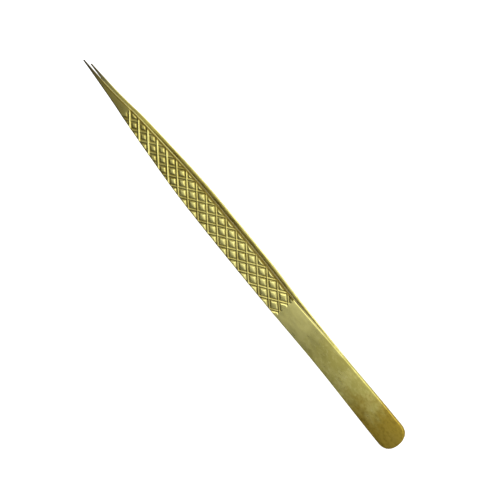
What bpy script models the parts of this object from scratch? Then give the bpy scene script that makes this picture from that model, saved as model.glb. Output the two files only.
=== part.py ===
"""Stamp tongs: two bowed spring-steel arms, spot-welded to each other at the heel.

Metres, +Z up. The tongs lie on the lower arm's bow with their points towards +X, and the
origin is on the ground under the middle of their box. The mid-plane between the arms is
level, and the lower arm is the upper one turned over about it. Each arm bends where the
two stop touching, so its object's origin is on that bend's axis, which runs along Y.

A station is a distance along the tongs from the end of the heel.
"""

import math

import bmesh
import bpy
from mathutils import Matrix, Vector

MM = 0.001

# Driving dimensions
LENGTH = 140 * MM
THICKNESS = 1.1 * MM
POINT_THICKNESS = 0.4 * MM
THINNING_STARTS = 92 * MM
OUTER_ROUNDING = 0.32
INNER_ROUNDING = 0.6

HEEL_HALF_WIDTH = 4.0 * MM
HEEL_END_LENGTH = 3.8 * MM
HEEL_END_FLAT_ANGLE = math.radians(20)
GRIP_HALF_WIDTH = 3.53 * MM
WAIST_STARTS = 4 * MM
WAIST_ENDS = 44 * MM

# Half-width of the long point, as (distance from the tip, half-width)
POINT_OUTLINE = (
    (0 * MM, 0.2 * MM),
    (6 * MM, 0.5 * MM),
    (13.7 * MM, 0.95 * MM),
    (18.3 * MM, 1.3 * MM),
    (22.2 * MM, 1.68 * MM),
    (28.5 * MM, 2.14 * MM),
    (36 * MM, 2.63 * MM),
    (44.7 * MM, 3.12 * MM),
    (53.4 * MM, 3.4 * MM),
    (75 * MM, GRIP_HALF_WIDTH),
)

# The bow, as (distance from the tip, the inner face's distance from the mid-plane)
BOW = (
    (0 * MM, 2.75 * MM),
    (8 * MM, 3.25 * MM),
    (18 * MM, 3.7 * MM),
    (32 * MM, 4 * MM),
    (48 * MM, 4.1 * MM),
    (62 * MM, 4.1 * MM),
    (75 * MM, 4 * MM),
    (86 * MM, 3.55 * MM),
    (94 * MM, 2.8 * MM),
    (100.5 * MM, 1.95 * MM),
    (108.5 * MM, 0.7 * MM),
    (120 * MM, 0.12 * MM),
)
BEND_STATION = 26 * MM

# The grip: a diamond lattice pressed into the outer face, a little askew
FIRST_KNOT = LENGTH - 23 * MM
KNOTS = 16
FIRST_PITCH = 4.28 * MM
LAST_PITCH = 4.64 * MM
DIAMOND_WIDTH = 3.45 * MM
GRIP_END = 47.7 * MM
GRIP_SKEW = 0.0045
GROOVE_DEPTHS = {-1: 0.22 * MM, 1: 0.2 * MM}
GROOVE_BAR_RADIUS = 0.6 * MM
GROOVE_OVERRUN = 1.5 * MM

# The spot welds
WELD_STATIONS = {"front": 17 * MM, "rear": 7 * MM}
WELD_RADIUS = 1.5 * MM
WELD_HALF_HEIGHT = 0.4 * MM
WELD_CLEARANCE = 0.15 * MM

# How finely the arm is lofted
HEEL_END_SECTIONS = 6
ARM_SECTIONS = 50

# Colours
GOLD = (0.62, 0.52, 0.22, 1)
WELD_GREY = (0.42, 0.40, 0.36, 1)


def smooth_step(value, start, end):
    """0 before start, 1 after end, and level at both."""
    share = min(max((value - start) / (end - start), 0), 1)
    return share * share * (3 - 2 * share)


def along(points, value):
    """A smooth curve through (place, size) points, flat where it meets the last one."""
    index = 0
    while index < len(points) - 2 and value > points[index + 1][0]:
        index += 1
    slopes = [tangent(points, index), tangent(points, index + 1)]
    (x0, y0), (x1, y1) = points[index], points[index + 1]
    t = min(max((value - x0) / (x1 - x0), 0), 1)
    bend_in = slopes[0] * (x1 - x0) * t * (1 - t) ** 2
    bend_out = slopes[1] * (x1 - x0) * t * t * (1 - t)
    return y0 + (y1 - y0) * t * t * (3 - 2 * t) + bend_in - bend_out


def tangent(points, index):
    if index == len(points) - 1:
        return 0
    before = points[max(index - 1, 0)]
    after = points[index + 1]
    return (after[1] - before[1]) / (after[0] - before[0])


def half_width(station):
    """Half the arm's width, beyond the round end of the heel."""
    if station > WAIST_ENDS:
        return along(POINT_OUTLINE, LENGTH - station)
    waist = smooth_step(station, WAIST_STARTS, WAIST_ENDS)
    return HEEL_HALF_WIDTH + (GRIP_HALF_WIDTH - HEEL_HALF_WIDTH) * waist


def thickness(station):
    thinning = (station - THINNING_STARTS) / (LENGTH - THINNING_STARTS)
    return THICKNESS + (POINT_THICKNESS - THICKNESS) * max(thinning, 0)


def outer_height(station):
    """Height of the upper arm's outer face above the mid-plane."""
    return along(BOW, LENGTH - station) + thickness(station)


def mid_height():
    """Height of the mid-plane, with the lower arm's bow on the ground."""
    return max(outer_height(station) for station, _ in stations_and_widths())


def outer_slope(station):
    step = 0.1 * MM
    rise = outer_height(station + step) - outer_height(station - step)
    return rise / (2 * step)


def stations_and_widths():
    """Where the arm's sections are: by angle round the heel's end, then evenly."""
    start = HEEL_END_FLAT_ANGLE
    places = []
    for step in range(HEEL_END_SECTIONS + 1):
        angle = start + (math.pi / 2 - start) * step / HEEL_END_SECTIONS
        station = HEEL_END_LENGTH * (math.cos(start) - math.cos(angle))
        places.append((station, half_width(station) * math.sin(angle)))
    behind = places[-1][0]
    for step in range(1, ARM_SECTIONS + 1):
        station = behind + (LENGTH - behind) * step / ARM_SECTIONS
        places.append((station, half_width(station)))
    return places


def section(station, width):
    """The arm's cross-section: a small radius on the outer edges and a large one inside."""
    outer = outer_height(station)
    inner = outer - thickness(station)
    small = min(OUTER_ROUNDING * thickness(station), 0.6 * width)
    large = min(INNER_ROUNDING * thickness(station), 0.6 * width)
    right = corner(width, inner, large, -1) + corner(width, outer, small, 1)
    left = [(-y, z) for y, z in reversed(right)]
    return [(station - BEND_STATION, y, z) for y, z in right + left]


def corner(width, height, radius, up, steps=3):
    """A quarter round from the flat face to the side, or back again if up is 1."""
    points = []
    for step in range(steps + 1):
        angle = math.pi / 2 * step / steps
        y = width - radius * (1 - math.sin(angle))
        z = height - up * radius * (1 - math.cos(angle))
        points.append((y, z))
    return points if up < 0 else points[::-1]


def arm_blank():
    """The arm before its grip is pressed, lofted through its sections."""
    bm = bmesh.new()
    rings = []
    for station, width in stations_and_widths():
        rings.append([bm.verts.new(point) for point in section(station, width)])
    count = len(rings[0])
    for ring, following in zip(rings, rings[1:]):
        for i in range(count):
            j = (i + 1) % count
            bm.faces.new((ring[i], ring[j], following[j], following[i]))
    bm.faces.new(list(reversed(rings[0])))
    bm.faces.new(rings[-1])
    bmesh.ops.recalc_face_normals(bm, faces=bm.faces)
    return bm


def knots():
    """Stations where the lattice's lines cross along its middle, and the pitch there."""
    station = FIRST_KNOT
    for index in range(KNOTS):
        pitch = FIRST_PITCH + (LAST_PITCH - FIRST_PITCH) * index / (KNOTS - 1)
        yield station, pitch
        station -= pitch


def groove_cutters(collection):
    """A square bar on edge for each line of the lattice, lying along the outer face."""
    for index, (station, pitch) in enumerate(knots()):
        for side, depth in GROOVE_DEPTHS.items():
            angle = math.atan(DIAMOND_WIDTH / pitch)
            reach = (half_width(station) + GROOVE_OVERRUN) / math.sin(angle)
            back = min(reach, (station - GRIP_END) / math.cos(angle))
            bm = bmesh.new()
            bmesh.ops.create_cone(
                bm,
                cap_ends=True,
                segments=4,
                radius1=GROOVE_BAR_RADIUS,
                radius2=GROOVE_BAR_RADIUS,
                depth=reach + back,
            )
            bmesh.ops.translate(bm, vec=(0, 0, (reach - back) / 2), verts=bm.verts)
            turn = laid_along(side * angle, outer_slope(station))
            height = outer_height(station) + GROOVE_BAR_RADIUS - depth
            aside = GRIP_SKEW * (FIRST_KNOT - station)
            place = Matrix.Translation((station - BEND_STATION, aside, height))
            bmesh.ops.transform(bm, matrix=place @ turn, verts=bm.verts)
            add_cutter(bm, f"groove_{index}_{side}", collection)


def laid_along(angle, slope):
    """The turn that lays an upright bar along the outer face, at an angle to the centre line."""
    run = Vector((math.cos(angle), math.sin(angle), slope * math.cos(angle))).normalized()
    across = Vector((-math.sin(angle), math.cos(angle), 0))
    up = run.cross(across).normalized()
    return Matrix((across, up, run)).transposed().to_4x4()


def weld_cutters(collection):
    """Shallow round pockets in the inner face, which the weld metal fills."""
    for name, station in WELD_STATIONS.items():
        bm = bmesh.new()
        bmesh.ops.create_cone(
            bm,
            cap_ends=True,
            segments=32,
            radius1=WELD_RADIUS + WELD_CLEARANCE,
            radius2=WELD_RADIUS + WELD_CLEARANCE,
            depth=2 * (WELD_HALF_HEIGHT + WELD_CLEARANCE),
        )
        bmesh.ops.translate(bm, vec=(station - BEND_STATION, 0, 0), verts=bm.verts)
        add_cutter(bm, f"pocket_{name}", collection)


def add_cutter(bm, name, collection):
    cutter = add_object(bm, name, collection)
    cutter.hide_render = True
    cutter.display_type = "WIRE"


def add_object(bm, name, collection):
    mesh = bpy.data.meshes.new(name)
    bm.to_mesh(mesh)
    bm.free()
    made = bpy.data.objects.new(name, mesh)
    collection.objects.link(made)
    return made


def new_collection(name):
    collection = bpy.data.collections.new(name)
    bpy.context.scene.collection.children.link(collection)
    return collection


def metal(name, colour, roughness):
    material = bpy.data.materials.new(name)
    material.use_nodes = True
    shader = material.node_tree.nodes["Principled BSDF"]
    shader.inputs["Base Color"].default_value = colour
    shader.inputs["Metallic"].default_value = 1
    shader.inputs["Roughness"].default_value = roughness
    return material


def pressed_arm(cutters, collection):
    """The finished arm's mesh: the blank with its grip and weld pockets cut."""
    blank = add_object(arm_blank(), "arm_blank", collection)
    cut = blank.modifiers.new("grip_and_pockets", "BOOLEAN")
    cut.operation = "DIFFERENCE"
    cut.operand_type = "COLLECTION"
    cut.collection = cutters
    cut.solver = "EXACT"
    graph = bpy.context.evaluated_depsgraph_get()
    mesh = bpy.data.meshes.new_from_object(blank.evaluated_get(graph))
    bpy.data.objects.remove(blank)
    mesh.name = "arm"
    return mesh


def add_arms(mesh, collection):
    mesh.materials.clear()
    for name, turned in (("upper_arm", 0), ("lower_arm", math.pi)):
        arm = bpy.data.objects.new(name, mesh.copy())
        arm.data.materials.append(metal(name, GOLD, 0.35))
        arm.location = bend_axis()
        arm.rotation_euler.x = turned
        collection.objects.link(arm)


def bend_axis():
    return (BEND_STATION - LENGTH / 2, 0, mid_height())


def add_welds(collection):
    """Each weld is a round lens of fused metal, half in each arm."""
    for name, station in WELD_STATIONS.items():
        bm = bmesh.new()
        bmesh.ops.create_cone(
            bm,
            cap_ends=True,
            segments=32,
            radius1=WELD_RADIUS,
            radius2=WELD_RADIUS,
            depth=2 * WELD_HALF_HEIGHT,
        )
        weld = add_object(bm, f"spot_weld_{name}", collection)
        weld.location = (station - LENGTH / 2, 0, mid_height())
        weld.data.materials.append(metal(weld.name, WELD_GREY, 0.5))
        rounding = weld.modifiers.new("lens_edge", "BEVEL")
        rounding.width = 0.25 * MM
        rounding.segments = 2
        rounding.limit_method = "ANGLE"


def main():
    for leftover in list(bpy.data.objects):
        bpy.data.objects.remove(leftover)
    parts = new_collection("stamp_tongs")
    cutters = new_collection("cutters")
    groove_cutters(cutters)
    weld_cutters(cutters)
    add_arms(pressed_arm(cutters, parts), parts)
    add_welds(parts)


main()
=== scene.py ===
"""The looks of the stamp tongs: two gilt spring-steel arms with a pressed diamond grip.

Metres, in the CAD's frame: the heel is at -X, the points at +X, and the arms open along Z.
A station is a distance along the tongs from the end of the heel. Both arms come from one
surface, which is made for the upper arm and mirrored for the lower one.

A pair of places or distances is the range that a change takes, from where it begins to where
it is complete, unless a comment says otherwise.
"""

import math

import bmesh
import bpy
import numpy as np
from mathutils import Matrix, Vector


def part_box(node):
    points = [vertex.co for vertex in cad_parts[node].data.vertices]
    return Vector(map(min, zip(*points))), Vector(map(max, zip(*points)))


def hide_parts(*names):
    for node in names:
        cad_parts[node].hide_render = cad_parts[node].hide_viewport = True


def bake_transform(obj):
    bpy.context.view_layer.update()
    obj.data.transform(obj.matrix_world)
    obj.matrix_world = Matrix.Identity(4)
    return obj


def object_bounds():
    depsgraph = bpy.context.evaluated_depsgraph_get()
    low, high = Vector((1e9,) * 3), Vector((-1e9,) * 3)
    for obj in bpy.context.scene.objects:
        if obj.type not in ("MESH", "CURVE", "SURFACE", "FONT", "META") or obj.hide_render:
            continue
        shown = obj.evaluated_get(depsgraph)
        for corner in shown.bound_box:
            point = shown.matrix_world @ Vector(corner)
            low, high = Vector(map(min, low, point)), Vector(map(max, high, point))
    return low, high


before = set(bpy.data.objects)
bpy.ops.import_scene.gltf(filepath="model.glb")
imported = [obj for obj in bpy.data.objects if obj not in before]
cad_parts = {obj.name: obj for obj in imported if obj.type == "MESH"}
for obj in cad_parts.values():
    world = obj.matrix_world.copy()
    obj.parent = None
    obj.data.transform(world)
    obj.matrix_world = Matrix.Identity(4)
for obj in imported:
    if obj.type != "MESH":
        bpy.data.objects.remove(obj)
CAD_BOX = [list(corner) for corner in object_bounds()]
MM = 0.001
TINY = 1e-6

# The frame's own places
HEEL_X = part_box("upper_arm")[0][0]
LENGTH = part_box("upper_arm")[1][0] - HEEL_X
MID_Z = (CAD_BOX[0][2] + CAD_BOX[1][2]) / 2

# The arm's leaf
THICKNESS = 1.1 * MM
POINT_THICKNESS = 0.4 * MM
THINNING_STARTS = 92 * MM
CROWN = 0.07 * MM

# Its outline: the round heel end, the waist, the margin on the -Y side and the point, which is
# rows of (distance from the tip, half width)
HEEL_HALF_WIDTH = 4.0 * MM
HEEL_END_LENGTH = 3.7 * MM
HEEL_END_SQUARENESS = 2.3
WAIST_STARTS = 4 * MM
WAIST_ENDS = 44 * MM
GRIP_HALF_WIDTH = 3.53 * MM
MARGIN = 0.34 * MM
MARGIN_STARTS = (45 * MM, 62 * MM)
MARGIN_ENDS = (116 * MM, 130 * MM)
POINT_OUTLINE = np.array((
    (0, 0.22),
    (6, 0.5),
    (13.7, 0.95),
    (18.3, 1.3),
    (22.2, 1.68),
    (28.5, 2.14),
    (36, 2.63),
    (44.7, 3.12),
    (53.4, 3.4),
    (75, 3.53),
)) * MM
TIP_RADIUS = POINT_OUTLINE[0, 1]

# The bow, as (distance from the tip, the inner face's distance from the mid-plane)
BOW = np.array((
    (0, 2.75),
    (8, 3.25),
    (18, 3.7),
    (32, 4),
    (48, 4.1),
    (62, 4.1),
    (75, 4),
    (86, 3.55),
    (94, 2.8),
    (100.5, 1.95),
    (108.5, 0.7),
    (120, 0.05),
)) * MM

# The grip's lattice, and how far its middle is from the arm's, by the distance from its first knot
FIRST_KNOT = LENGTH - 23.13 * MM
KNOTS = 16
FIRST_PITCH = 4.34 * MM
LAST_PITCH = 4.555 * MM
DIAMOND_WIDTH = 3.33 * MM
LATTICE_OVERRUN = 6 * MM
GRIP_END = 47.7 * MM
GRIP_START = FIRST_KNOT + 2 * MM
GRIP_DRIFT = np.array((
    (0, 0.48),
    (10, 0.4),
    (17, 0.27),
    (23, 0.09),
    (29, 0),
    (35, 0.01),
    (45, 0.03),
    (66, 0.12),
)) * MM

# Where the press holds the arm, reaches its full depth, and makes its pillows lower
PRESS_STARTS = (GRIP_END - 0.25 * MM, GRIP_END + 0.25 * MM)
PRESS_ENDS = (GRIP_START - 0.6 * MM, GRIP_START + 0.6 * MM)
FULL_DEPTH = (GRIP_END + 0.8 * MM, GRIP_END + 5 * MM)
LOW_PILLOWS = (FIRST_KNOT - 32 * MM, FIRST_KNOT - 10 * MM)

# Furrows and ribs, with a height for each family. RIB_CHANGE and RIB_WIDENING are what the ribs
# gain or lose between the low pillows
FURROW_DEPTH = 0.2 * MM
GROOVE_STARTS = 0.3 * MM
GROOVE_ENDS = 0.65 * MM
RIB_HEIGHTS = (0.12 * MM, 0.15 * MM)
RIB_CHANGE = 0.05 * MM
RIB_WIDENING = 0.05 * MM
RIB_HALF_WIDTH = 0.17 * MM
RIB_ENDS = (0.35 * MM, 0.7 * MM)
RIB_UNEVENNESS = 0.3
RIB_WAVES = (1.9 * MM, 1.3 * MM, 5.3 * MM)
# Ribs are painted paler, partly as wear and partly as a painted highlight, more so towards the point
RIB_PALENESS = 0.45
RIB_PALENESS_GAIN = 0.4

# Pillows, by the distance from the ribs. The insets are those of the -Y and the +Y side
PILLOW_STARTS = 0.36 * MM
PILLOW_SHOULDER = 0.76 * MM
PILLOW_CENTRE = 1.36 * MM
PILLOW_HEIGHT = 0.15 * MM
PILLOW_CROWN = 0.16 * MM
LOW_PILLOW_SHARE = 0.45
SMALL_PILLOW_INSET = 0.2 * MM
EDGE_PILLOW_INSETS = (0.55 * MM, 0)
EDGE_PILLOW_RISE = 0.3 * MM

# Edges. The heel's and the grip's roundings are those of the -Y and the +Y side
HEEL_EDGE_ROUNDINGS = (0.38 * MM, 0.22 * MM)
GRIP_EDGE_ROUNDINGS = (0.2 * MM, 0.12 * MM)
GRIP_ROUNDING_STARTS = (GRIP_END - 0.5 * MM, GRIP_END + 1.5 * MM)
SHOULDER_ROUNDING = 0.42 * MM
SHOULDER_ROUNDING_STARTS = (GRIP_END - 14 * MM, GRIP_END - 3 * MM)
POINT_ROUNDING = 0.3 * MM
OUTER_ROUNDING_SHARE = 0.35
OUTER_ROUNDING_LIMIT = 0.6
INNER_ROUNDING = 0.15
INNER_ROUNDING_WIDTH = 0.22 * MM
INNER_ROUNDING_LIMIT = 0.8

# Painted shade by the distance from the edge: along the grip's -Y margin, on the edges ahead of
# and behind the grip, and over the inner face between the arms. A share above 1 is painted
# darker. The inner face's shares are those behind the point and at it. The -Y edge ahead of the
# grip keeps a pale, unshaded line as a painted highlight
DEEP_SHADE = 1.5
MARGIN_SHADE = (0.62 * MM, 0.85 * MM)
PAINTED_EDGE_HIGHLIGHT = (0.05 * MM, 0.2 * MM)
POINT_EDGE_SHADE = (0.1 * MM, 0.5 * MM)
POINT_EDGE_SHADE_STARTS = (GRIP_START - 3 * MM, GRIP_START + 3 * MM)
SHOULDER_EDGE_SHADE = (0.12 * MM, 0.3 * MM)
SHOULDER_EDGE_SHADE_STARTS = (36 * MM, GRIP_END)
SHOULDER_EDGE_SHADE_LIMIT = GRIP_START - 2 * MM
INNER_SHADE = (0.35 * MM, 0.9 * MM)
INNER_SHADE_SHARES = (1.2, 0.35)
INNER_SHADE_FADES = (GRIP_START - 12 * MM, GRIP_START)
INNER_PALENESS = 0.85

# Recesses of the inner face
WELDS = ("spot_weld_front", "spot_weld_rear")
WELD_POCKET_RADIUS = 1.75 * MM
WELD_POCKET_DEPTH = 0.45 * MM

# The mesh: rows across the arm, steps between its columns, and the band of close ones at its edges
HEEL_ROWS = 28
SHANK_ROWS = 80
GRIP_ROW_PITCH = 0.115 * MM
GRIP_ROWS_START = GRIP_END - 0.8 * MM
GRIP_ROWS_END = GRIP_START + 1.5 * MM
POINT_ROWS = 60
TIP_ROWS = 7
OUTER_STEPS = 62
INNER_STEPS = 20
EDGE_BAND = 0.75 * MM
EDGE_BAND_SHARE = 0.55
EDGE_STEPS = 8
EDGE_CROWDING = 1.6
SLOPE_STEP = 0.05 * MM
HEEL_EDGE_LENGTH = 1.6 * HEEL_END_LENGTH
MERGE_DISTANCE = 1e-6
SLIVER = 1e-7


def smooth_step(value, start, end):
    share = np.clip((value - start) / (end - start), 0, 1)
    return share * share * (3 - 2 * share)


def hermite(points, value):
    """A smooth curve through (place, size) rows, flat where it meets the last one."""
    x, y = points[:, 0], points[:, 1]
    slope = np.zeros(len(x))
    slope[0] = (y[1] - y[0]) / (x[1] - x[0])
    slope[1:-1] = (y[2:] - y[:-2]) / (x[2:] - x[:-2])
    i = np.clip(np.searchsorted(x, value) - 1, 0, len(x) - 2)
    run = x[i + 1] - x[i]
    t = np.clip((value - x[i]) / run, 0, 1)
    ease = t * t * (3 - 2 * t)
    bend = slope[i] * run * t * (1 - t) ** 2 - slope[i + 1] * run * t * t * (1 - t)
    return y[i] + (y[i + 1] - y[i]) * ease + bend


# The arm's outline and section


def half_width(station):
    """Half the arm's width, with the round heel end and the rounded tip."""
    waist = smooth_step(station, WAIST_STARTS, WAIST_ENDS)
    behind = HEEL_HALF_WIDTH + (GRIP_HALF_WIDTH - HEEL_HALF_WIDTH) * waist
    ahead = hermite(POINT_OUTLINE, LENGTH - station)
    width = np.where(station < WAIST_ENDS, behind, ahead)
    back = np.clip(1 - station / HEEL_END_LENGTH, 0, 1)
    width = width * (1 - back**HEEL_END_SQUARENESS) ** (1 / HEEL_END_SQUARENESS)
    front = np.clip(1 - (LENGTH - station) / TIP_RADIUS, 0, 1)
    return width * np.sqrt(1 - front**2)


def margin_width(station):
    """How much wider the arms are on their -Y side than on the other, along the grip."""
    behind = smooth_step(station, *MARGIN_STARTS)
    return MARGIN * behind * (1 - smooth_step(station, *MARGIN_ENDS))


def thickness(station):
    share = np.clip((station - THINNING_STARTS) / (LENGTH - THINNING_STARTS), 0, 1)
    return THICKNESS + (POINT_THICKNESS - THICKNESS) * share


def half_gap(station):
    return hermite(BOW, LENGTH - station)


def rounding(distance, radius, height):
    """How far a face has fallen, this far from its edge, on an elliptical rounding."""
    share = np.clip(1 - distance / radius, 0, 1)
    return height * (1 - np.sqrt(1 - share**2))


def edge_rounding(along, across):
    """How wide the outer edges are rounded: more along one side, and most behind the grip."""
    side = (across > 0).astype(int)
    shoulder = smooth_step(along, *SHOULDER_ROUNDING_STARTS) * (1 - side)
    heel = np.array(HEEL_EDGE_ROUNDINGS)[side]
    behind = heel + (SHOULDER_ROUNDING - heel) * shoulder
    pressed = np.array(GRIP_EDGE_ROUNDINGS)[side]
    pressed = pressed + (POINT_ROUNDING - pressed) * smooth_step(along, *LOW_PILLOWS)
    return behind + (pressed - behind) * smooth_step(along, *GRIP_ROUNDING_STARTS)


def weld_pockets(along, across):
    """How deep the inner face is recessed round each spot weld."""
    depth = np.zeros_like(along)
    for name in WELDS:
        low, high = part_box(name)
        centre = (low[0] + high[0]) / 2 - HEEL_X
        reach = np.hypot(along - centre, across)
        depth += WELD_POCKET_DEPTH * (reach < WELD_POCKET_RADIUS)
    return depth


# The grids of points


def stations():
    """Close together round the heel, through the grip and at the tip, wider apart between."""
    heel_end = HEEL_END_LENGTH * (1 - np.cos(np.linspace(0, math.pi / 2, HEEL_ROWS)))
    tip_end = LENGTH - TIP_RADIUS * (1 - np.sin(np.linspace(0, math.pi / 2, TIP_ROWS)))
    grip = np.arange(GRIP_ROWS_START, GRIP_ROWS_END, GRIP_ROW_PITCH)
    shank = np.linspace(HEEL_END_LENGTH, grip[0], SHANK_ROWS)[1:-1]
    point = np.linspace(grip[-1], tip_end[0], POINT_ROWS)[1:-1]
    return np.concatenate((heel_end, shank, grip, point, tip_end))


def grid(station, middle_steps):
    """(station, across, distance to the outline) for each point of one face."""
    width = half_width(station)[:, None]
    band = np.minimum(EDGE_BAND, EDGE_BAND_SHARE * width)
    steps = (np.arange(EDGE_STEPS + 1) / EDGE_STEPS) ** EDGE_CROWDING
    right = width - band * steps[None, ::-1]
    left = -right[:, ::-1] - margin_width(station)[:, None]
    share = np.linspace(0, 1, middle_steps + 1)[None, 1:-1]
    middle = left[:, -1:] + (right[:, :1] - left[:, -1:]) * share
    across = np.concatenate((left, middle, right), axis=1)
    along = np.repeat(station[:, None], across.shape[1], axis=1)
    return along, across, edge_distance(along, across)


def edge_distance(along, across):
    """How far each point is inside the arm's outline."""
    station = along[:, :1]
    slope = half_width(station + SLOPE_STEP) - half_width(station - SLOPE_STEP)
    slope = slope / (2 * SLOPE_STEP)
    outline = half_width(station) + margin_width(station) * (across < 0)
    sideways = (outline - np.abs(across)) / np.sqrt(1 + slope**2)
    behind = HEEL_END_LENGTH - np.minimum(along, HEEL_END_LENGTH)
    reach = np.hypot(behind * (HEEL_HALF_WIDTH / HEEL_END_LENGTH), across)
    rounded = np.clip(HEEL_HALF_WIDTH - reach, 0, None)
    ahead = np.where(along < HEEL_EDGE_LENGTH, np.minimum(rounded, sideways), sideways)
    distance = np.where(along < HEEL_END_LENGTH, rounded, ahead)
    distance[:, 0] = 0
    distance[:, -1] = 0
    return np.clip(distance, 0, None)


# The pressed grip


def lattice(along, across):
    """Distance from each point to the nearest line of either family, in metres."""
    growth = (LAST_PITCH - FIRST_PITCH) / (KNOTS - 1)
    first = FIRST_PITCH - growth / 2
    run = np.clip(FIRST_KNOT - along, -LATTICE_OVERRUN, None)
    knot = (np.sqrt(first**2 + 2 * growth * run) - first) / growth
    pitch = first + growth * knot
    offset = (across - hermite(GRIP_DRIFT, FIRST_KNOT - along)) / DIAMOND_WIDTH
    spacing = pitch * DIAMOND_WIDTH / np.hypot(pitch, DIAMOND_WIDTH)
    rising, falling = knot + offset, knot - offset
    return (
        np.abs(rising - np.round(rising)) * spacing,
        np.abs(falling - np.round(falling)) * spacing,
    )


def held(along):
    """Where the press has reached: 1 along the grip, 0 beyond its straight ends."""
    return smooth_step(along, *PRESS_STARTS) * (1 - smooth_step(along, *PRESS_ENDS))


def unevenness(along, across):
    """How far the press has raised the ribs from place to place, about 1."""
    lengthwise, sideways, leaning = RIB_WAVES
    waves = np.sin(along / lengthwise + 1) * np.sin(across / sideways + along / leaning)
    return 1 + RIB_UNEVENNESS * waves


def rib_height(one, other, pointward):
    """The taller of the two families of ribs, before the press's unevenness."""
    wide = RIB_HALF_WIDTH + RIB_WIDENING * pointward
    return np.maximum(
        (RIB_HEIGHTS[0] - RIB_CHANGE * pointward) * np.exp(-((one / RIB_HALF_WIDTH) ** 2)),
        (RIB_HEIGHTS[1] + RIB_CHANGE * pointward) * np.exp(-((other / wide) ** 2)),
    )


def pillow_share(one, other, pointward):
    """1 on a pillow and 0 in the furrows round it, smaller where the pillows are low."""
    inset = SMALL_PILLOW_INSET * pointward
    share = smooth_step(one - inset, PILLOW_STARTS, PILLOW_SHOULDER)
    return share * smooth_step(other - inset, PILLOW_STARTS, PILLOW_SHOULDER)


def pressing(along, across, distance):
    """(height, crest, stain and painted shade) of the grip: fine ribs in furrows, round low
    pillows.
    """
    one, other = lattice(along, across)
    pointward = smooth_step(along, *LOW_PILLOWS)
    full = smooth_step(along, *FULL_DEPTH)
    side = (across > 0).astype(int)
    ribs = rib_height(one, other, pointward)
    ribs *= unevenness(along, across) * np.maximum(side, smooth_step(distance, *RIB_ENDS))
    body = pillow_share(one, other, pointward)
    body *= smooth_step(distance - np.array(EDGE_PILLOW_INSETS)[side], 0, EDGE_PILLOW_RISE)
    body *= full * (1 - (1 - LOW_PILLOW_SHARE) * pointward)
    short = (1 - one / PILLOW_CENTRE) ** 2 + (1 - other / PILLOW_CENTRE) ** 2
    pillow = (PILLOW_HEIGHT + PILLOW_CROWN * np.clip(1 - short, 0, 1)) * body
    groove = 1 - smooth_step(np.minimum(one, other), GROOVE_STARTS, GROOVE_ENDS)
    sunk = full + (1 - full) * groove
    height = (ribs + pillow - FURROW_DEPTH * sunk) * held(along)
    # Paler crests: partly wear, partly a painted highlight
    paleness = RIB_PALENESS + RIB_PALENESS_GAIN * pointward
    crest = np.clip(body + paleness * ribs / RIB_HEIGHTS[1], 0, 1)
    # A pale, unshaded line along the -Y edge ahead of the grip: a painted highlight
    edge_highlight = (1 - side) * (1 - smooth_step(distance, *PAINTED_EDGE_HIGHLIGHT)) * pointward
    stain_and_shade = stain_and_shade_share(along, distance, 1 - side, (1 - crest) * sunk, edge_highlight)
    return height, np.maximum(crest * held(along), edge_highlight), stain_and_shade


def stain_and_shade_share(along, distance, near, stain_and_shade, edge_highlight):
    """The stain of the furrows, with painted shade along the margin and on the edges ahead of and
    behind the grip, and no shade on the painted edge highlight.
    """
    # Painted shade along the grip's -Y margin
    margin = (1 - smooth_step(distance, *MARGIN_SHADE)) * near
    stain_and_shade = np.maximum(stain_and_shade, DEEP_SHADE * margin)
    # Painted shade on the edges ahead of the grip, inside the painted highlight on the -Y side
    point = smooth_step(along, *POINT_EDGE_SHADE_STARTS)
    point = point * (1 - smooth_step(distance - near * PAINTED_EDGE_HIGHLIGHT[1], *POINT_EDGE_SHADE))
    stain_and_shade = stain_and_shade * held(along) + DEEP_SHADE * point
    # Painted shade on the -Y edge behind the grip
    shoulder = smooth_step(along, *SHOULDER_EDGE_SHADE_STARTS) * (1 - held(along)) * near
    shoulder *= (1 - smooth_step(distance, *SHOULDER_EDGE_SHADE)) * (along < SHOULDER_EDGE_SHADE_LIMIT)
    return np.maximum(stain_and_shade * (1 - edge_highlight), DEEP_SHADE * shoulder)


# The arm's surface


def placed(along, across, height):
    """Points of the upper arm, from their height over the mid-plane."""
    return np.stack((along + HEEL_X, across, MID_Z + height), axis=-1)


def outer_face(station):
    """(points, crest, stain and painted shade) of the pressed face."""
    along, across, distance = grid(station, OUTER_STEPS)
    relief, crest, stain_and_shade = pressing(along, across, distance)
    leaf = thickness(along)
    limit = OUTER_ROUNDING_LIMIT * half_width(along) + TINY
    reach = np.minimum(edge_rounding(along, across), limit)
    height = half_gap(along) + leaf
    height -= rounding(distance, reach, np.minimum(reach, OUTER_ROUNDING_SHARE * leaf))
    height += relief - CROWN * (across / GRIP_HALF_WIDTH) ** 2
    return placed(along, across, height), crest, stain_and_shade


def inner_face(station):
    """(points, crest, painted shade) of the plain face, which is painted with shade except near
    its edges, most strongly up to the point, and paler at the point.
    """
    along, across, distance = grid(station, INNER_STEPS)
    limit = INNER_ROUNDING_LIMIT * half_width(along) + TINY
    reach = np.minimum(INNER_ROUNDING_WIDTH, limit)
    height = half_gap(along) + rounding(distance, reach, INNER_ROUNDING * thickness(along))
    height = height + weld_pockets(along, across)
    # Painted shade over the inner face between the arms, fading out near its edges, weaker at the
    # point
    pointward = smooth_step(along, *INNER_SHADE_FADES)
    inner_shade, point_inner_shade = INNER_SHADE_SHARES
    inner_shade = inner_shade + (point_inner_shade - inner_shade) * pointward
    stain_and_shade = inner_shade * smooth_step(distance, *INNER_SHADE)
    return placed(along, across, height), INNER_PALENESS * pointward, stain_and_shade


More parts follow.
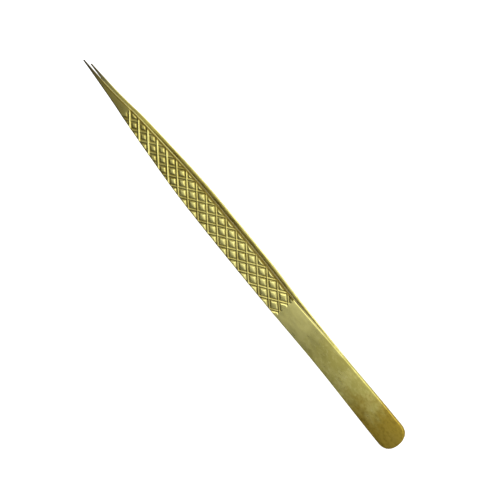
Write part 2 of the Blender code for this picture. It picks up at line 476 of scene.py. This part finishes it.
def quads(index):
    """Faces between neighbouring rows and columns, facing the side they run round."""
    return np.stack(
        (index[:-1, :-1], index[1:, :-1], index[1:, 1:], index[:-1, 1:]), axis=-1
    ).reshape(-1, 4)


def shell(outer_shape, inner_shape):
    """The faces of both grids and of the two walls that join their sides."""
    outer = np.arange(math.prod(outer_shape)).reshape(outer_shape)
    inner = outer.size + np.arange(math.prod(inner_shape)).reshape(inner_shape)
    return np.concatenate((
        quads(outer),
        quads(inner[:, ::-1]),
        quads(np.stack((inner[:, 0], outer[:, 0]), axis=1)),
        quads(np.stack((outer[:, -1], inner[:, -1]), axis=1)),
    ))


def arm_mesh(name):
    """The upper arm as one closed surface, with its crests, and its stains and painted shade, kept
    for its material.
    """
    station = stations()
    outer = outer_face(station)
    inner = inner_face(station)
    points = np.concatenate([face[0].reshape(-1, 3) for face in (outer, inner)])
    faces = shell(outer[0].shape[:2], inner[0].shape[:2])
    mesh = bpy.data.meshes.new(name)
    mesh.from_pydata(points.tolist(), [], faces.tolist())
    for index, kept in enumerate(("crest", "stain_and_shade"), 1):
        attribute = mesh.attributes.new(kept, "FLOAT", "POINT")
        values = np.concatenate((outer[index].ravel(), inner[index].ravel()))
        attribute.data.foreach_set("value", values)
    return mesh


def closed_up(mesh):
    """Merges the rows that come to a point, and points every face outwards."""
    bm = bmesh.new()
    bm.from_mesh(mesh)
    bmesh.ops.remove_doubles(bm, verts=bm.verts, dist=MERGE_DISTANCE)
    bmesh.ops.dissolve_degenerate(bm, edges=bm.edges, dist=SLIVER)
    bmesh.ops.recalc_face_normals(bm, faces=bm.faces)
    bm.to_mesh(mesh)
    bm.free()
    mesh.shade_smooth()


# Materials

GOLD = (0.90, 0.82, 0.27, 1)
OLIVE_GOLD = (0.68, 0.61, 0.16, 1)
PALE_GOLD = (1.0, 0.93, 0.35, 1)
BROWN_GOLD = (0.52, 0.36, 0.04, 1)
DARK_BROWN = (0.33, 0.23, 0.03, 1)
# The furrows' tarnish, also used for painted shade; the deeper brown below is painted shade only
TARNISH_AND_SHADE = (0.34, 0.26, 0.045, 1)
PAINTED_SHADE_BROWN = (0.16, 0.115, 0.02, 1)
POINT_BROWN = (0.30, 0.235, 0.05, 1)
WORN_STEEL = (0.13, 0.115, 0.08, 1)
STRAW_TINT = (0.42, 0.36, 0.27, 1)
BLUE_TINT = (0.3, 0.33, 0.4, 1)

# Noise, as (scale, stretch, detail, roughness)
CLOUD_NOISE = (260, (0.7, 1, 1), 5, 0.65)
FINE_NOISE = (1300, (0.6, 1, 1), 4, 0.75)
PATCH_NOISE = (130, (0.6, 1, 1), 4, 0.7)
STAIN_AND_SHADE_NOISE = (420, (0.8, 1, 1), 4, 0.7)
BRUSH_NOISE = (900, (0.25, 1, 1), 3, 0.55)
GRAIN_NOISE = (4200, (1, 1, 1), 2, 0.55)
WELD_NOISE = (700, (1, 1, 1), 3, 0.55)

# Shares of a colour, as (start, end, share at start, share at end) of a noise
CLOUDS = (0.4, 0.66, 0, 1)
SPECKLE = (0.5, 0.68, 0, 0.8)
FLECKS = (0.48, 0.33, 0, 0.65)
GRIME = (0.46, 0.64, 0, 0.6)
# How strongly the furrows' tarnish and the painted shade show, varied by a noise
STAIN_AND_SHADE_STRENGTH = (0.35, 0.7, 0.55, 0.95)
BRUSHED_ROUGHNESS = (0.3, 0.7, 0.27, 0.4)
WELD_TINTS = (0.35, 0.65, 0, 1)
WELD_ROUGHNESS = (0.3, 0.7, 0.4, 0.6)

# The same of the place along X, which patches shift by up to PATCH_REACH for the first two
PATCH_REACH = -0.035
HEEL_BROWNING = (-0.0665, -0.0785, 0, 0.9)
BUFFED = (-0.0575, -0.0415, 0, 0.3)
HANDLED_FROM = (-0.04, -0.028, 0, 1)
HANDLED_TO = (-0.004, 0.018, 0.6, 0)
POINT_BROWNING = (0.043, 0.052, 0, 0.72)
WORN_TIPS = (0.058, 0.068, 0, 0.9)

# The same of the crests, and of the stains and painted shade kept on the mesh. Pale crests are
# partly wear and partly a painted highlight; shares above 1 are painted shade only
PALE_CRESTS = (0.5, 1.0, 0, 0.5)
TARNISHED_AND_SHADED = (0.3, 0.95, 0, 1)
DEEPLY_SHADED = (1.0, DEEP_SHADE, 0, 0.85)

BUMP_STRENGTH = 0.35
BUMP_DISTANCE = 0.02 * MM


class Tree:
    """The nodes of a material or a world, and the ways this file adds to them."""

    def __init__(self, owner):
        owner.use_nodes = True
        self.nodes = owner.node_tree.nodes
        self.links = owner.node_tree.links

    def add(self, kind, **settings):
        """A new node, where each setting is an input's value or one of the node's own."""
        made = self.nodes.new(kind)
        for key, value in settings.items():
            if key in made.inputs:
                made.inputs[key].default_value = value
            else:
                setattr(made, key, value)
        return made

    def feed(self, value, socket):
        """Links a socket to an input, or sets the input to a number or a colour."""
        if isinstance(value, bpy.types.NodeSocket):
            self.links.new(value, socket)
        else:
            socket.default_value = value

    def math(self, operation, *values):
        made = self.add("ShaderNodeMath", operation=operation)
        for value, socket in zip(values, made.inputs):
            self.feed(value, socket)
        return made.outputs[0]

    def mix(self, share, one, other):
        """A colour mixed by a share."""
        made = self.add("ShaderNodeMix", data_type="RGBA")
        for value, index in ((share, 0), (one, 6), (other, 7)):
            self.feed(value, made.inputs[index])
        return made.outputs[2]

    def ranged(self, value, start, end, low, high):
        """The value, taken from start..end to low..high and held inside it."""
        made = self.add("ShaderNodeMapRange", interpolation_type="SMOOTHSTEP")
        for number, socket in zip((value, start, end, low, high), made.inputs):
            self.feed(number, socket)
        return made.outputs[0]

    def noise(self, place, scale, stretch, detail, roughness):
        mapping = self.add("ShaderNodeMapping", Scale=stretch)
        self.links.new(place, mapping.inputs["Vector"])
        made = self.add("ShaderNodeTexNoise", Scale=scale, Detail=detail, Roughness=roughness)
        self.links.new(mapping.outputs[0], made.inputs["Vector"])
        return made.outputs[0]


def new_metal(name):
    """(material, its tree, its shader, the place on the object) of a bare metal."""
    material = bpy.data.materials.new(name)
    tree = Tree(material)
    shader = tree.nodes["Principled BSDF"]
    shader.inputs["Metallic"].default_value = 1
    return material, tree, shader, tree.add("ShaderNodeTexCoord").outputs["Object"]


def plating(tree, place, along):
    """The plating's colour: mottled, brown at the heel, rubbed pale where it is held, and
    browner again at the point."""
    clouds = tree.noise(place, *CLOUD_NOISE)
    colour = tree.mix(tree.ranged(clouds, *CLOUDS), OLIVE_GOLD, GOLD)
    fine = tree.noise(place, *FINE_NOISE)
    colour = tree.mix(tree.ranged(fine, *SPECKLE), colour, OLIVE_GOLD)
    colour = tree.mix(tree.ranged(fine, *FLECKS), colour, PALE_GOLD)
    patchy = tree.math("MULTIPLY_ADD", tree.noise(place, *PATCH_NOISE), PATCH_REACH, along)
    heelward = tree.ranged(patchy, *HEEL_BROWNING)
    colour = tree.mix(heelward, colour, BROWN_GOLD)
    grime = tree.math("MULTIPLY", heelward, tree.ranged(fine, *GRIME))
    colour = tree.mix(grime, colour, DARK_BROWN)
    colour = tree.mix(tree.ranged(patchy, *BUFFED), colour, PALE_GOLD)
    handled = tree.ranged(along, *HANDLED_FROM)
    handled = tree.math("MULTIPLY", handled, tree.ranged(along, *HANDLED_TO))
    colour = tree.mix(handled, colour, PALE_GOLD)
    return tree.mix(tree.ranged(along, *POINT_BROWNING), colour, POINT_BROWN)


def stained_and_shaded(tree, place, colour):
    """The colour, paler on the crests, partly as wear and partly as a painted highlight, tarnished
    in the furrows, and darkened with painted shade along the edges and on the inner face.
    """
    stain_and_shade = tree.add("ShaderNodeAttribute", attribute_name="stain_and_shade").outputs["Fac"]
    crest = tree.add("ShaderNodeAttribute", attribute_name="crest").outputs["Fac"]
    # Paler crests: partly wear, partly a painted highlight
    colour = tree.mix(tree.ranged(crest, *PALE_CRESTS), colour, PALE_GOLD)
    # Tarnish of the furrows, and painted shade along the edges and over the inner face
    strength = tree.ranged(tree.noise(place, *STAIN_AND_SHADE_NOISE), *STAIN_AND_SHADE_STRENGTH)
    tarnish_and_shade = tree.math("MULTIPLY", tree.ranged(stain_and_shade, *TARNISHED_AND_SHADED), strength)
    colour = tree.mix(tarnish_and_shade, colour, TARNISH_AND_SHADE)
    # The deepest shares are painted shade only
    return tree.mix(tree.ranged(stain_and_shade, *DEEPLY_SHADED), colour, PAINTED_SHADE_BROWN)


def add_brushing(tree, place, shader):
    """Brush marks along the arms, in the roughness and, with a fine grain, in a faint bump."""
    brushed = tree.noise(place, *BRUSH_NOISE)
    grain = tree.noise(place, *GRAIN_NOISE)
    tree.links.new(tree.ranged(brushed, *BRUSHED_ROUGHNESS), shader.inputs["Roughness"])
    bump = tree.add("ShaderNodeBump", Strength=BUMP_STRENGTH, Distance=BUMP_DISTANCE)
    tree.links.new(tree.math("ADD", brushed, grain), bump.inputs["Height"])
    tree.links.new(bump.outputs[0], shader.inputs["Normal"])


def gilt_steel():
    """Satin gold plating over brushed steel, browner at the heel and worn at the points."""
    material, tree, shader, place = new_metal("gilt_steel")
    parts = tree.add("ShaderNodeSeparateXYZ")
    tree.links.new(place, parts.inputs[0])
    along = parts.outputs[0]
    colour = stained_and_shaded(tree, place, plating(tree, place, along))
    colour = tree.mix(tree.ranged(along, *WORN_TIPS), colour, WORN_STEEL)
    tree.links.new(colour, shader.inputs["Base Color"])
    add_brushing(tree, place, shader)
    return material


def weld_metal():
    """Once-melted steel, dull grey with straw and blue heat tints."""
    material, tree, shader, place = new_metal("weld_metal")
    tint = tree.noise(place, *WELD_NOISE)
    colour = tree.mix(tree.ranged(tint, *WELD_TINTS), STRAW_TINT, BLUE_TINT)
    tree.links.new(colour, shader.inputs["Base Color"])
    tree.links.new(tree.ranged(tint, *WELD_ROUGHNESS), shader.inputs["Roughness"])
    return material


# The pieces


def add_arm(name, material, mirrored):
    mesh = arm_mesh(name + "_gilt")
    closed_up(mesh)
    if mirrored:
        about = Matrix.Translation((0, 0, MID_Z))
        mesh.transform(about @ Matrix.Scale(-1, 4, (0, 0, 1)) @ about.inverted())
        mesh.flip_normals()
    arm = bpy.data.objects.new(name + "_gilt", mesh)
    bpy.context.scene.collection.objects.link(arm)
    mesh.materials.append(material)
    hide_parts(name)
    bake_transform(arm)


def add_pieces():
    gilt = gilt_steel()
    add_arm("upper_arm", gilt, mirrored=False)
    add_arm("lower_arm", gilt, mirrored=True)
    weld = weld_metal()
    for name in WELDS:
        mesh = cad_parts[name].data
        mesh.materials.clear()
        mesh.materials.append(weld)


# The studio

FLOOR_HALF_SIDE = 1.5
FLOOR_GAP = 0.05 * MM
FLOOR_COLOUR = (0.85, 0.85, 0.85, 1)
FLOOR_ROUGHNESS = 0.9
FLOOR_SHINE = (0.2, 0.95)
BACKDROP = (0.95, 0.95, 0.95, 1)

# What the metal mirrors, as (towards, start, end, low, high): the level goes from low to high
# as the cosine of the angle from the glow's middle goes from start to end
GLOWS = (
    ((0.12, -0.56, 0.82), 0.6, 1.0, 0.11, 1.33),
    ((0, -1, 0.1), 0.45, 1.0, 0, 0.2),
    ((-0.8, -0.4, 0.45), 0.7, 1.0, 0, 0.4),
    ((-0.7, 0.6, 0.38), 0.75, 1.0, 0, 0.22),
)

KEY_PLACE = (0.12, -0.38, 0.55)
KEY_TARGET = (0, 0, 0.005)
KEY_SIZE = (0.35, 0.3)
KEY_POWER = 0.45


def add_floor():
    """A pale floor just under the tongs. It shines weakly on the metal, and more strongly for
    the camera, to which it looks white."""
    mesh = bpy.data.meshes.new("floor")
    half = FLOOR_HALF_SIDE
    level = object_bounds()[0][2] - FLOOR_GAP
    corners = [(-half, -half, level), (half, -half, level), (half, half, level), (-half, half, level)]
    mesh.from_pydata(corners, [], [(0, 1, 2, 3)])
    floor = bpy.data.objects.new("floor", mesh)
    bpy.context.scene.collection.objects.link(floor)
    material = bpy.data.materials.new("floor")
    tree = Tree(material)
    shader = tree.nodes["Principled BSDF"]
    shader.inputs["Base Color"].default_value = FLOOR_COLOUR
    shader.inputs["Roughness"].default_value = FLOOR_ROUGHNESS
    shader.inputs["Emission Color"].default_value = (1, 1, 1, 1)
    seen = tree.add("ShaderNodeLightPath").outputs["Is Camera Ray"]
    tree.links.new(tree.ranged(seen, 0, 1, *FLOOR_SHINE), shader.inputs["Emission Strength"])
    mesh.materials.append(material)


def add_key_light():
    light = bpy.data.lights.new("key", "AREA")
    light.shape = "RECTANGLE"
    light.size, light.size_y = KEY_SIZE
    light.energy = KEY_POWER
    made = bpy.data.objects.new("key", light)
    bpy.context.scene.collection.objects.link(made)
    made.location = KEY_PLACE
    towards = Vector(KEY_TARGET) - Vector(KEY_PLACE)
    made.rotation_euler = towards.to_track_quat("-Z", "Y").to_euler()


def add_world():
    """A dim grey room with a big soft glow high on the -Y side, a paler wall below it and
    weak fills from behind the heel, in front of a plain pale backdrop."""
    world = bpy.data.worlds.new("studio")
    bpy.context.scene.world = world
    tree = Tree(world)
    direction = tree.add("ShaderNodeTexCoord").outputs["Generated"]
    total = 0
    for towards, start, end, low, high in GLOWS:
        facing = tree.add("ShaderNodeVectorMath", operation="DOT_PRODUCT")
        facing.inputs[1].default_value = Vector(towards).normalized()
        tree.links.new(direction, facing.inputs[0])
        level = tree.ranged(facing.outputs["Value"], start, end, low, high)
        total = tree.math("ADD", total, level)
    seen = tree.add("ShaderNodeLightPath").outputs["Is Camera Ray"]
    tree.links.new(tree.mix(seen, total, BACKDROP), tree.nodes["Background"].inputs["Color"])


# The camera stands over the tongs, leaning a little to the heel and to the -Y side
LEAN_TO_HEEL = math.radians(9.07)
LEAN_TO_SIDE = math.radians(9.0)
DISTANCE = 0.285
SENSOR_WIDTH = 36
LENS = 74.91
NEAREST_SEEN = 0.01
AIM = (HEEL_X + 66.45 * MM, -2.77 * MM, MID_Z + 4.6 * MM)
HEADING = math.radians(39.76)


def add_camera():
    back = Vector((-math.tan(LEAN_TO_HEEL), -math.tan(LEAN_TO_SIDE), 1)).normalized()
    up = Vector((math.cos(HEADING), -math.sin(HEADING), 0))
    up = (up - back * up.dot(back)).normalized()
    right = up.cross(back)
    data = bpy.data.cameras.new("camera")
    data.sensor_width = SENSOR_WIDTH
    data.lens = LENS
    data.clip_start = NEAREST_SEEN
    camera = bpy.data.objects.new("camera", data)
    bpy.context.scene.collection.objects.link(camera)
    turn = Matrix((right, up, back)).transposed().to_4x4()
    camera.matrix_world = Matrix.Translation(Vector(AIM) + back * DISTANCE) @ turn
    bpy.context.scene.camera = camera


add_camera()
add_pieces()
add_floor()
add_world()
add_key_light()
bpy.context.scene.view_settings.view_transform = "Standard"
